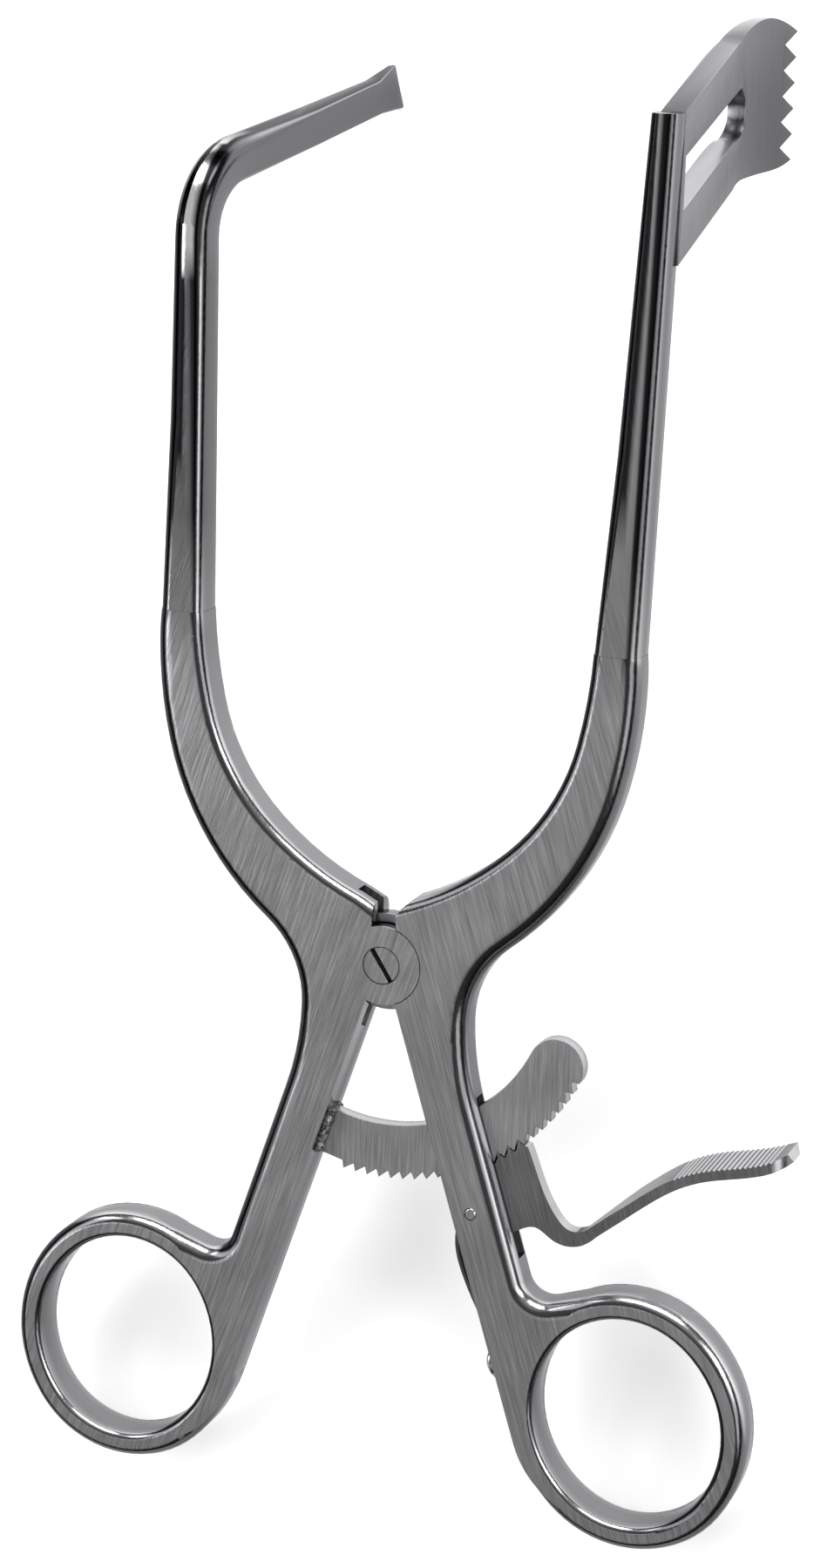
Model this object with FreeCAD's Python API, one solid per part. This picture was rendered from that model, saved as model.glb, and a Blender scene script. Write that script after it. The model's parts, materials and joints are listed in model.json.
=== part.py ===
import FreeCAD, Part
import math
import os

# A retractor with two mirrored halves joined in a fork and tongue hinge.
# Sizes are in millimetres.  The pieces are drawn in the plane of the handles:
# +X to the lever side, +Y toward the arm tips, front faces at Z = 0, blades
# toward -Z, hinge centre at X = Y = 0.  At the end the whole instrument is
# laid down as it rests on a table, on its finger rings and its blade tips.

V = FreeCAD.Vector
os.makedirs("parts", exist_ok=True)

# Body of each half
body_depth = 6.2          # front face to back face
mid_z = -body_depth / 2   # plane that all the moving layers share
outer_round = 2.1         # rounding of the outer long edges
inner_round = 1.5         # rounding of the edges around the wound space

handle_start = 0.35       # inner handle line at the height of the hinge
handle_lean = 0.322       # how far the inner handle line runs out per mm
handle_angle = math.atan(handle_lean)
handle_width = 6.55
waist_end = 20.6          # along the handle, its outer line is straight below
handle_end = 63.4         # where its inner line meets the outside of the ring

# Finger ring
ring_x = 34.2
ring_y = -55.3
ring_hole_w = 24.4        # clear width of the hole
ring_hole_h = 27.5        # clear height of the hole
ring_end_radius = 0.46 * ring_hole_w
ring_band = 3.2           # radial width of the band
ring_tilt = 8.6           # degrees, long axis leans to the handle
ring_outer_round = 1.7
ring_inner_round = 1.0
web_meets_ring = 109.0    # degrees, where the web runs into the ring's outside
web_radius = 3.0          # of the hollow between handle and ring
fade_radius = 13.0        # the sharp inner handle edge sinks into the ring
fade_angle = 50.0

# Hinge
disc_radius = 5.07        # round cheeks of the fork
recess_gap = 0.06         # running clearance around the cheeks
cheek = 2.0               # thickness of each cheek
layer_gap = 0.05          # running clearance on each side of the tongue
tongue_radius = 6.2
slot_radius = 13.8        # cutter that opened the fork
slot_x = 6.5              # centre of that cutter
left_edge = 1.45          # fork body stops here beside the hinge line
right_edge = 1.75         # tongue body stops here beside the hinge line
screw_head_radius = 2.37
screw_head_height = 1.1
screw_radius = 1.5
screw_gap = 0.04          # running clearance of the screw in the tongue
head_seat_gap = 0.02      # around the screw head in its seat
driver_slot = 0.6
driver_depth = 0.6

# Ratchet
bar_thickness = 2.0
window_width = 2.2        # slot through the handle, in depth
tip_radius = 28.5
tooth_depth = 1.0
bar_width = 7.1           # in the plane, teeth included
bar_inner_radius = tip_radius - bar_width
tooth_count = 24
pitch = 3.24              # degrees
first_tip = -10.2         # degrees from straight down, + to the lever side
steep_shift = 0.7         # degrees that the steep flank leans
window_top = 19.0         # along the handle from the hinge height
window_bottom = 40.3
mesh_tooth = 14           # first bar tooth that the pawl holds
pawl_teeth = 3
flank_gap = 0.03
bar_swing_gap = 0.12      # pawl gullets clear the tips of the rack
weld_radius = 0.85

# Release lever
pin_x = 12.9
pin_y = -30.7
pin_radius = 0.82
pin_gap = 0.03
pin_proud = 0.15
boss_radius = 2.15
thumb_width = 7.6
thumb_thickness = 1.35
rib_count = 20
rib_depth = 0.18

# Leaf spring and its screw
leaf_width = 3.0
leaf_thickness = 0.45
leaf_screw_s = 53.5       # along the handle from the hinge height
leaf_touch_s = 34.8       # where its free end bears on the lever
leaf_head_radius = 1.9
leaf_head_height = 1.3
leaf_screw_radius = 0.9
leaf_screw_length = 3.4

# Arms, blade and prong
arm_join_y = 42.0
arm_inner_x = 25.3        # where the arm leaves the shoulder
arm_outer_x = 31.2
arm_mid_y = 66.0          # station half way up both arms
plain_mid_inner_x = 27.05
plain_mid_outer_x = 31.75
plain_mid_depth = 5.9
bent_mid_inner_x = 25.45
bent_mid_outer_x = 30.6
bent_mid_depth = 5.8
arm_end_y = 106.0
arm_end_inner_x = 29.3
arm_end_outer_x = 32.6
arm_tip_depth = 5.6
arm_inner_share = 0.38    # roundings of the arms as shares of their width
arm_outer_share = 0.46
blade_seat = 4.2          # depth behind the front at which the blade starts
blade_height = 17.7       # along the arm, where it is joined
blade_low_y = arm_end_y - blade_height
blade_reach = 45.0        # tooth tips, behind the front face
blade_bend = 25.0         # from here the blade curves outward
blade_thickness = 3.1
blade_near_x = 32.55      # outer face of the blade where it leaves the arm
blade_slope = 0.323       # slant of its edges away from the handles
blade_flare = 2.6         # how far the toothed end curves outward
blade_tip_thickness = 0.9
blade_low_tip = blade_low_y + 10.0    # height of the lowest tooth
blade_teeth = 6
blade_tooth_depth = 3.3
blade_window_start = 1.2  # behind the seat
blade_window_end = 25.8   # behind the seat, at the tip of its curled end
blade_window_low = 6.4    # above the lower root corner
blade_window_high = 12.6
blade_window_droop = 0.55
prong_reach = 46.0        # end of the prong, behind the front face
prong_inward = 0.215      # lean toward the other arm, per mm of depth
prong_forward = 0.21      # lean away from the handles, per mm of depth
prong_spade = 5.7         # width of the flared end
prong_twist = 20.0        # degrees, the spade turns toward the handles
elbow_y = 88.0
elbow_radius = 9.2
elbow_inner_x = 25.65
elbow_outer_x = 30.4
elbow_depth = 5.6


def polar(radius, degrees, z=0.0):
    a = math.radians(degrees)
    return V(radius * math.sin(a), -radius * math.cos(a), z)


def handle_point(along, across, z=0.0):
    """A point given along the inner handle line and square to it."""
    c = math.cos(handle_angle)
    s = math.sin(handle_angle)
    return V(handle_start + along * s + across * c, -along * c + across * s, z)


def spline(points, start=None, end=None):
    curve = Part.BSplineCurve()
    if start is None:
        curve.interpolate(points)
    else:
        curve.interpolate(Points=points, InitialTangent=start, FinalTangent=end)
    return curve.toShape()


def chain(points):
    return [Part.makeLine(a, b) for a, b in zip(points, points[1:])]


def bends(points, way):
    """Arcs through the points, each tangent to the one before it."""
    edges = []
    for a, b in zip(points, points[1:]):
        way = way.normalize()
        chord = b - a
        side = V(-way.y, way.x, 0)
        centre = a + side * (chord.dot(chord) / (2 * chord.dot(side)))
        chord = chord.normalize()
        bulge = V(-chord.y, chord.x, 0)
        radius = (a - centre).Length
        if bulge.dot(centre - a) > 0:
            bulge = bulge * -1
        edges.append(Part.Arc(a, centre + bulge * radius, b).toShape())
        way = chord * (2 * way.dot(chord)) - way
    return edges


def slab(edges, top, bottom):
    """Extrudes a closed outline drawn at Z = 0 between two depths."""
    wire = Part.Wire(Part.__sortEdges__(edges))
    face = Part.Face(wire)
    face.translate(V(0, 0, bottom))
    return face.extrude(V(0, 0, top - bottom))


def disc(radius, top, bottom, x=0.0, y=0.0):
    return Part.makeCylinder(radius, top - bottom, V(x, y, bottom))


def oval_arcs(grow):
    """Radii and side shift of the four arcs of the ring's oval."""
    half_w = ring_hole_w / 2 + grow
    half_h = ring_hole_h / 2 + grow
    end_r = ring_end_radius + grow
    lift = half_h - end_r
    side_r = (lift ** 2 + half_w ** 2 - end_r ** 2) / (2 * (half_w - end_r))
    return half_w, half_h, end_r, lift, side_r - half_w


def ring_oval(grow, top, bottom):
    """Oval of four arcs, larger all round than the hole by a given amount."""
    half_w, half_h, end_r, lift, shift = oval_arcs(grow)
    join_x = end_r * shift / math.hypot(shift, lift)
    join_y = lift + end_r * lift / math.hypot(shift, lift)
    corners = [V(join_x, join_y, 0), V(-join_x, join_y, 0),
               V(-join_x, -join_y, 0), V(join_x, -join_y, 0)]
    middles = [V(0, half_h, 0), V(-half_w, 0, 0), V(0, -half_h, 0), V(half_w, 0, 0)]
    edges = []
    for i in range(4):
        edges.append(Part.Arc(corners[i], middles[i], corners[(i + 1) % 4]).toShape())
    body = slab(edges, top, bottom)
    body.rotate(V(0, 0, 0), V(0, 0, 1), ring_tilt)
    body.translate(V(ring_x, ring_y, 0))
    return body


def ring_outside(degrees):
    """Point on the upper outer edge of the ring, and the way it runs there."""
    end_r, lift = oval_arcs(ring_band)[2:4]
    a = math.radians(degrees)
    t = math.radians(ring_tilt)
    centre = V(ring_x - lift * math.sin(t), ring_y + lift * math.cos(t), 0)
    point = centre + V(math.cos(a), math.sin(a), 0) * end_r
    return point, V(-math.sin(a), math.cos(a), 0)


def level_edges(body):
    return [e for e in body.Edges if abs(e.BoundBox.ZLength) < 0.01]


def facets(size):
    """Two chamfers that turn a corner into three even facets."""
    half = math.tan(math.pi / 16)
    return size * (2 - math.sqrt(2)), size * (math.tan(math.pi / 8) - half)


def finger_ring():
    """Oval band as deep as the handle, its rims softened in narrow facets."""
    first, second = facets(ring_outer_round)
    band = ring_oval(ring_band, 0, -body_depth)
    band = band.makeChamfer(first, level_edges(band))
    band = band.makeChamfer(second, level_edges(band))
    band = band.cut(ring_oval(0, 0, -body_depth))
    first, second = facets(ring_inner_round)
    hole = ring_oval(0, 0, -1).Edges
    band = band.makeChamfer(first, edges_over(hole, band))
    hole = hole + ring_oval(first, 0, -1).Edges
    return band.makeChamfer(second, edges_over(hole, band))


def web_lines():
    """Outer handle line, the hollow, and the run into the ring's outside."""
    join, way = ring_outside(web_meets_ring)
    start = handle_point(waist_end, handle_width)
    down = (handle_point(1, 0) - handle_point(0, 0)).normalize()
    gap = join - start
    run = (gap.x * way.y - gap.y * way.x) / (down.x * way.y - down.y * way.x)
    corner = start + down * run
    out = way * -1
    bisector = (out - down).normalize()
    half_angle = math.acos(bisector.dot(out))
    leg = web_radius / math.tan(half_angle)
    middle = corner + bisector * (web_radius / math.sin(half_angle) - web_radius)
    first = corner - down * leg
    last = corner + out * leg
    hollow = Part.Arc(first, middle, last).toShape()
    return [Part.makeLine(start, first), hollow, Part.makeLine(last, join)], join


def edges_over(guides, body):
    """The front and back edges of a body that run over some plan curves."""
    found = []
    for e in body.Edges:
        mid = e.valueAt((e.FirstParameter + e.LastParameter) / 2)
        flat = Part.Vertex(V(mid.x, mid.y, 0))
        upright = abs(e.BoundBox.XLength) + abs(e.BoundBox.YLength) < 0.01
        near = min(g.distToShape(flat)[0] for g in guides)
        if not upright and near < 0.02:
            found.append(e)
    return found


def sharp_edge_fade(low):
    """Arc on which the inner handle edge sinks into the rim of the ring."""
    centre = handle_point(handle_end, fade_radius)
    spoke = low - centre
    points = []
    for share in (0.5, 1.0):
        turn = FreeCAD.Rotation(V(0, 0, 1), fade_angle * share)
        points.append(centre + turn.multVec(spoke))
    return Part.Arc(low, points[0], points[1]).toShape(), points[1]


def half_blank(edge_x, edge_top):
    """Handle, waist and shoulder of one half, with its finger ring."""
    shoulder_start = V(3.4, 8.6, 0)
    up = handle_point(0, 0) - handle_point(1, 0)
    inner = bends([shoulder_start, V(15.46, 16.28, 0), V(23.73, 30.67, 0),
                   V(arm_inner_x, arm_join_y, 0)], V(0.928, 0.373, 0))
    outer = bends([handle_point(waist_end, handle_width), V(11.13, -6.62, 0), V(16.1, 3.82, 0),
                   V(29.79, 25.3, 0), V(31.38, 38.11, 0), V(arm_outer_x, arm_join_y, 0)], up)
    web, join = web_lines()
    corner_y = -(edge_x - handle_start) / handle_lean
    low = handle_point(handle_end, 0)
    fade, fade_end = sharp_edge_fade(low)
    straight = chain([join, V(ring_x, ring_y, 0), fade_end])
    straight = straight + [fade] + chain([low, V(edge_x, corner_y, 0), V(edge_x, edge_top, 0),
                                          shoulder_start])
    top = Part.makeLine(V(arm_inner_x, arm_join_y, 0), V(arm_outer_x, arm_join_y, 0))
    outside = outer + web
    body = slab(straight + inner + [top] + outside, 0, -body_depth)
    body = body.makeFillet(inner_round, edges_over(inner, body))
    body = body.makeFillet(outer_round, edges_over(outside, body))
    clear = ring_oval(ring_inner_round, 1, -body_depth - 1)
    return body.cut(clear).fuse(finger_ring()).removeSplitter()


def section(centre, across, front, width, depth, inner_r, outer_r):
    """A softened rectangle; +across is the outer side, +front the front."""
    w = width / 2
    d = depth / 2
    half = math.tan(math.pi / 16)
    wide = 1 - math.sqrt(0.5) * (1 - half)
    slim = 1 - math.sqrt(0.5) * (1 + half)
    inset = [(1 - half, 0), (wide, slim), (slim, wide), (0, 1 - half)]
    points = []
    for r, sx, sy in [(outer_r, 1, 1), (inner_r, -1, 1), (inner_r, -1, -1), (outer_r, 1, -1)]:
        steps = inset if sx * sy < 0 else inset[::-1]
        for a, b in steps:
            points.append(centre + across * (sx * (w - a * r)) + front * (sy * (d - b * r)))
    return Part.makePolygon(points + [points[0]])


def arm_section(y, inner_x, outer_x, depth, inner_r, outer_r):
    centre = V((inner_x + outer_x) / 2, y, mid_z)
    width = outer_x - inner_x
    return section(centre, V(1, 0, 0), V(0, 0, 1), width, depth, inner_r, outer_r)


def arm_start():
    """First section, just inside the shoulder so that the two merge."""
    inset = 0.06
    return arm_section(arm_join_y - 0.5, arm_inner_x + inset, arm_outer_x - inset,
                       body_depth - 2 * inset, inner_round, outer_round)


def crowned(y, inner_x, outer_x, depth):
    """Section of the free arm, its corners worn round to a narrow crown."""
    width = outer_x - inner_x
    return arm_section(y, inner_x, outer_x, depth, arm_inner_share * width,
                       arm_outer_share * width)


def plain_arm():
    """The straight arm that carries the toothed blade."""
    middle = crowned(arm_mid_y, plain_mid_inner_x, plain_mid_outer_x, plain_mid_depth)
    end = crowned(arm_end_y, arm_end_inner_x, arm_end_outer_x, arm_tip_depth)
    return Part.makeLoft([arm_start(), middle, end], True, True)


def bent_arm():
    """The arm that turns down into the prong and ends in a small spade."""
    bend_start = crowned(elbow_y, elbow_inner_x, elbow_outer_x, elbow_depth)
    middle = crowned(arm_mid_y, bent_mid_inner_x, bent_mid_outer_x, bent_mid_depth)
    rod = Part.makeLoft([arm_start(), middle, bend_start], True, True)
    start = V((elbow_inner_x + elbow_outer_x) / 2, elbow_y, mid_z)
    down = V(-prong_inward, prong_forward, -1).normalize()
    toward = V(down.x, 0, down.z).normalize()
    axis = V(0, 1, 0).cross(toward)
    turn = math.degrees(math.acos(down.y))
    hub = start + toward * elbow_radius
    elbow = Part.Face(bend_start).revolve(hub, axis, turn)
    rotation = FreeCAD.Rotation(axis, turn)
    across = rotation.multVec(V(1, 0, 0))
    front = rotation.multVec(V(0, 0, 1))
    foot = hub + rotation.multVec(start - hub)
    reach = (-prong_reach - foot.z) / down.z

    def prong_section(fraction, twist, width, height, inner_r, outer_r):
        spot = foot + down * (reach * fraction)
        c = math.cos(math.radians(twist))
        s = math.sin(math.radians(twist))
        return section(spot, across * c - front * s, front * c + across * s, width, height,
                       inner_r, outer_r)

    width = elbow_outer_x - elbow_inner_x
    neck = prong_section(0, 0, width, elbow_depth, arm_inner_share * width,
                         arm_outer_share * width)
    middle = prong_section(0.45, prong_twist * 0.25, 3.8, 4.6, 0.6, 1.4)
    waist = prong_section(0.85, prong_twist * 0.6, 3.1, 4.3, 0.45, 1.1)
    end = prong_section(1.0, prong_twist, 1.3, prong_spade, 0.3, 0.3)
    prong = Part.makeLoft([neck, middle, waist], True, True)
    spade = Part.makeLoft([waist, end], True, True)
    return rod.fuse([elbow, prong, spade])


def fork_arm_side():
    body = half_blank(left_edge, 7.6).fuse(bent_arm())
    body = body.fuse(disc(disc_radius, 0, -body_depth))
    return body.mirror(V(0, 0, 0), V(1, 0, 0))


def left_branch():
    """Fork half: ring, handle, two round cheeks, bent arm and prong."""
    slot_top = -cheek
    slot_bottom = -body_depth + cheek
    body = fork_arm_side()
    body = body.cut(disc(slot_radius, slot_top, slot_bottom, slot_x, 0))
    seat = disc(screw_head_radius + head_seat_gap, 1, -screw_head_height)
    body = body.cut(seat)
    body = body.cut(disc(screw_radius + screw_gap, 1, slot_bottom))
    body = body.cut(disc(screw_radius, slot_bottom, -body_depth - 1))
    return body.removeSplitter()


def pivot_screw():
    """Slotted screw, head flush with the front, end flush with the back."""
    head = disc(screw_head_radius, 0, -screw_head_height)
    shank = disc(screw_radius, -screw_head_height, -body_depth)
    body = head.fuse(shank).removeSplitter()
    groove = Part.makeBox(6, driver_slot, driver_depth + 1, V(-3, -driver_slot / 2, -driver_depth))
    groove.rotate(V(0, 0, 0), V(0, 0, 1), -57)
    return body.cut(groove)


def window():
    """The slot through the lever-side handle for the rack and the lever."""
    top = mid_z + window_width / 2
    bottom = mid_z - window_width / 2
    corners = [handle_point(window_top, -3), handle_point(window_top, 12),
               handle_point(window_bottom, 12), handle_point(window_bottom, -3),
               handle_point(window_top, -3)]
    return slab(chain(corners), top, bottom)


def right_branch():
    """Tongue half: ring, slotted handle, thin tongue and straight arm."""
    tongue_top = -cheek - layer_gap
    tongue_bottom = -body_depth - tongue_top
    body = half_blank(right_edge, 7.0).fuse(plain_arm())
    recess = disc_radius + recess_gap
    body = body.cut(disc(recess, 1, tongue_top))
    body = body.cut(disc(recess, tongue_bottom, -body_depth - 1))
    body = body.fuse(disc(tongue_radius, tongue_top, tongue_bottom))
    body = body.cut(disc(screw_radius + screw_gap, 1, -body_depth - 1))
    body = body.cut(window())
    body = body.cut(disc(pin_radius, 1, -body_depth - 1, pin_x, pin_y))
    body = body.cut(leaf_screw_hole())
    seat = Part.makeBox(20, 40, 10, V(22, blade_low_y, -blade_seat - 10))
    body = body.cut(seat)
    return body.removeSplitter()


def leaf_axis(across):
    return handle_point(leaf_screw_s, across, mid_z)


def across_direction():
    return (handle_point(0, 1) - handle_point(0, 0)).normalize()


def leaf_screw_hole():
    return Part.makeCylinder(leaf_screw_radius, leaf_screw_length + 0.3 + 1,
                             leaf_axis(-1), across_direction())


def spring_screw():
    """Domed screw that clamps the foot of the leaf spring."""
    out = across_direction() * -1
    seat = leaf_axis(-leaf_thickness)
    rim = Part.makeCylinder(leaf_head_radius, 0.5, seat, out)
    dome_height = leaf_head_height - 0.5
    ball_radius = (leaf_head_radius ** 2 + dome_height ** 2) / (2 * dome_height)
    ball = Part.makeSphere(ball_radius, seat + out * (leaf_head_height - ball_radius))
    over = Part.makeCylinder(leaf_head_radius, dome_height, seat + out * 0.5, out)
    head = rim.fuse(ball.common(over))
    shank = Part.makeCylinder(leaf_screw_radius, leaf_screw_length + leaf_thickness + 0.2,
                              seat + out * 0.2, out * -1)
    body = head.fuse(shank).removeSplitter()
    groove = Part.makeBox(6, 0.5, 1.0, V(-3, -0.25, 0))
    groove.Placement = FreeCAD.Placement(seat + out * (leaf_head_height - 0.5),
                                         FreeCAD.Rotation(V(0, 0, 1), out))
    return body.cut(groove)


def leaf_line(offset):
    """The bowed run of the leaf, offset square to the handle."""
    stations = [(48.3, 0.0), (45.5, 0.35), (42.5, 0.8), (40.0, 1.0), (37.6, 0.9),
                (36.0, 0.5), (leaf_touch_s, 0.14), (leaf_touch_s - 0.8, 0.12)]
    return [handle_point(s, -t - offset) for s, t in stations]


def leaf_spring():
    """Bowed leaf: flat foot under its screw, free end on the lever's tail."""
    top = mid_z + leaf_width / 2
    bottom = mid_z - leaf_width / 2
    foot_end = handle_point(leaf_screw_s + 2.6, 0)
    foot_outer = handle_point(leaf_screw_s + 2.6, -leaf_thickness)
    inner = leaf_line(0)
    outer = leaf_line(leaf_thickness)
    along = handle_point(0, 0) - handle_point(1, 0)
    edges = [Part.makeLine(foot_outer, foot_end), Part.makeLine(foot_end, inner[0]),
             spline(inner, along, along), Part.makeLine(inner[-1], outer[-1]),
             spline(outer, along, along), Part.makeLine(outer[0], foot_outer)]
    body = slab(edges, top, bottom)
    hole = Part.makeCylinder(leaf_screw_radius, 4, leaf_axis(-2), across_direction())
    return body.cut(hole)


def ratchet_bar():
    """Rack bent around the hinge, saw teeth on its outer edge."""
    top = mid_z + bar_thickness / 2
    bottom = mid_z - bar_thickness / 2
    last_tip = first_tip + pitch * (tooth_count - 1)
    root_radius = tip_radius - tooth_depth
    points = []
    for k in range(tooth_count):
        tip = first_tip + pitch * k
        points.append(polar(root_radius, tip - steep_shift))
        points.append(polar(tip_radius, tip))
    root_a = bar_root(root_radius)
    root_b = bar_root(bar_inner_radius)
    nose = (tip_radius - bar_inner_radius) / 2
    nose_angle = last_tip - 0.3
    middle = polar(bar_inner_radius + nose, nose_angle)
    tangent = V(middle.y * -1, middle.x, 0).normalize()
    nose_top = middle + tangent * nose * 1.1
    inner_end = polar(bar_inner_radius, nose_angle)
    inner_mid = polar(bar_inner_radius, (nose_angle - 16) / 2)
    edges = chain([root_b, root_a] + points)
    edges.append(Part.Arc(points[-1], nose_top, inner_end).toShape())
    edges.append(Part.Arc(inner_end, inner_mid, root_b).toShape())
    return slab(edges, top, bottom)


def bar_root(radius):
    """Where a circle around the hinge meets the left inner handle line."""
    c = math.cos(handle_angle)
    s = math.sin(handle_angle)
    along = -handle_start * s + math.sqrt(radius ** 2 - (handle_start * c) ** 2)
    p = handle_point(along, 0)
    return V(-p.x, p.y, 0)


def ratchet_weld(bar, branch):
    """Lumpy fillets of weld in the corners between rack and handle."""
    low = bar_root(tip_radius - tooth_depth)
    high = bar_root(bar_inner_radius)
    length = (high - low).Length
    way = (high - low).normalize()
    side = V(-way.y, way.x, 0)
    beads = 9
    profile = [low]
    for i in range(beads):
        size = weld_radius * (1 + 0.14 * math.sin(2.4 * i))
        profile.append(low + way * (length * i / (beads - 1)) + side * size)
    profile = profile + [high, low]
    lump = Part.Face(Part.makePolygon(profile)).revolve(low, way, 360)
    front = lump.translated(V(0, 0, mid_z + bar_thickness / 2))
    back = lump.translated(V(0, 0, mid_z - bar_thickness / 2))
    return front.fuse(back).cut(bar).cut(branch)


def pawl_outline():
    """Three teeth whose steep faces follow the swing about the pin."""
    pin = V(pin_x, pin_y, 0)
    over = tip_radius + bar_swing_gap
    outline = [polar(tip_radius + 0.25, first_tip + pitch * (mesh_tooth - 1.6))]
    for i in range(pawl_teeth):
        tip = first_tip + pitch * (mesh_tooth + i)
        a = math.radians(tip)
        face_foot = polar(over, tip) - V(math.cos(a), math.sin(a), 0) * flank_gap
        arm = face_foot - pin
        swing = V(-arm.y, arm.x, 0).normalize()
        outline.append(polar(over, tip - pitch + 0.35))
        outline.append(face_foot + swing * (tooth_depth * 0.86))
        outline.append(face_foot)
    outline.append(polar(tip_radius + 0.45, tip + 0.5))
    return outline


def thumb_lines():
    """Upper and lower line of the thumb rest, seen from the front."""
    upper = [V(27.4, -31.2, 0), V(31.2, -27.8, 0), V(35.0, -24.6, 0), V(38.8, -21.9, 0),
             V(42.6, -20.2, 0), V(46.5, -19.2, 0), V(50.0, -18.2, 0), V(52.8, -16.8, 0)]
    lower = []
    for i, p in enumerate(upper):
        before = upper[max(i - 1, 0)]
        after = upper[min(i + 1, len(upper) - 1)]
        way = (after - before).normalize()
        lower.append(p + V(way.y, -way.x, 0) * thumb_thickness)
    return upper, lower


def thumb_rest():
    """Wide S-curved strip with fine ribs across its upper face."""
    half = thumb_width / 2
    upper, lower = thumb_lines()
    top_line = spline(upper)
    edges = [top_line, spline(lower), Part.makeLine(upper[0], lower[0]),
             Part.makeLine(upper[-1], lower[-1])]
    strip = slab(edges, mid_z + half, mid_z - half)
    end_x = upper[-1].x + 0.9
    start_x = upper[0].x - 0.5
    neck = bar_thickness / 2
    y = -50
    corners = [V(start_x, y, mid_z + neck), V(start_x + 6, y, mid_z + half),
               V(end_x - half, y, mid_z + half)]
    back = [V(p.x, y, 2 * mid_z - p.z) for p in reversed(corners)]
    nose = Part.Arc(corners[-1], V(end_x, y, mid_z), back[0]).toShape()
    outline = chain(corners) + [nose] + chain(back + [corners[0]])
    plan = Part.Face(Part.Wire(outline)).extrude(V(0, 60, 0))
    body = strip.common(plan)
    steps = 46
    marks = top_line.discretize(Number=steps)
    for i in range(steps - rib_count - 3, steps - 3):
        way = (marks[i + 1] - marks[i - 1]).normalize()
        out = V(-way.y, way.x, 0)
        tri = [marks[i] + way * 0.24 + out * 0.05, marks[i] - way * 0.24 + out * 0.05,
               marks[i] - out * rib_depth]
        body = body.cut(slab(chain(tri + [tri[0]]), 2, -body_depth - 2))
    return body


def release_lever():
    """Toothed pawl, boss and tail in the slot, neck and ribbed thumb rest."""
    top = mid_z + bar_thickness / 2
    bottom = mid_z - bar_thickness / 2
    pawl = pawl_outline()
    pin = V(pin_x, pin_y, 0)
    boss_high = pin + V(-math.cos(0.3), math.sin(0.3), 0) * boss_radius
    boss_mid = pin + V(-math.cos(0.05), -math.sin(0.05), 0) * boss_radius
    boss_low = pin + V(-math.cos(0.5), -math.sin(0.5), 0) * boss_radius
    tail_top = handle_point(leaf_touch_s - 0.5, -0.10)
    tail_tip = handle_point(leaf_touch_s + 0.3, -0.10)
    tail_low = handle_point(leaf_touch_s + 2.0, 1.0)
    upper, lower = thumb_lines()
    right = spline([pawl[-1], V(21.2, -25.9, 0), V(23.3, -29.8, 0), V(24.9, -31.4, 0), upper[0]])
    under = spline([lower[1], V(29.0, -31.7, 0), V(26.8, -33.4, 0), V(24.6, -33.7, 0),
                    V(22.9, -33.1, 0), V(20.8, -31.9, 0), V(18.8, -32.5, 0), tail_low])
    inside = [upper[0] + V(0.3, -0.3, 0), upper[1] + V(0.4, -0.5, 0), lower[1]]
    left = spline([boss_high, V(12.1, -27.6, 0), pawl[0]])
    boss = Part.Arc(boss_low, boss_mid, boss_high).toShape()
    edges = chain(pawl) + [right] + chain([upper[0]] + inside) + [under]
    edges = edges + chain([tail_low, tail_tip, tail_top, boss_low]) + [boss, left]
    plate = slab(edges, top, bottom)
    body = plate.fuse(thumb_rest()).removeSplitter()
    return body.cut(disc(pin_radius + pin_gap, 1, -body_depth - 1, pin_x, pin_y))


def lever_pin():
    body = disc(pin_radius, pin_proud, -body_depth, pin_x, pin_y)
    rim = [e for e in body.Edges if e.BoundBox.ZMin > pin_proud - 0.01]
    return body.makeChamfer(0.2, rim)


def blade_profile(points):
    """Points given as depth behind the front and height along the arm."""
    return [V(20, y, -d) for d, y in points]


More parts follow.
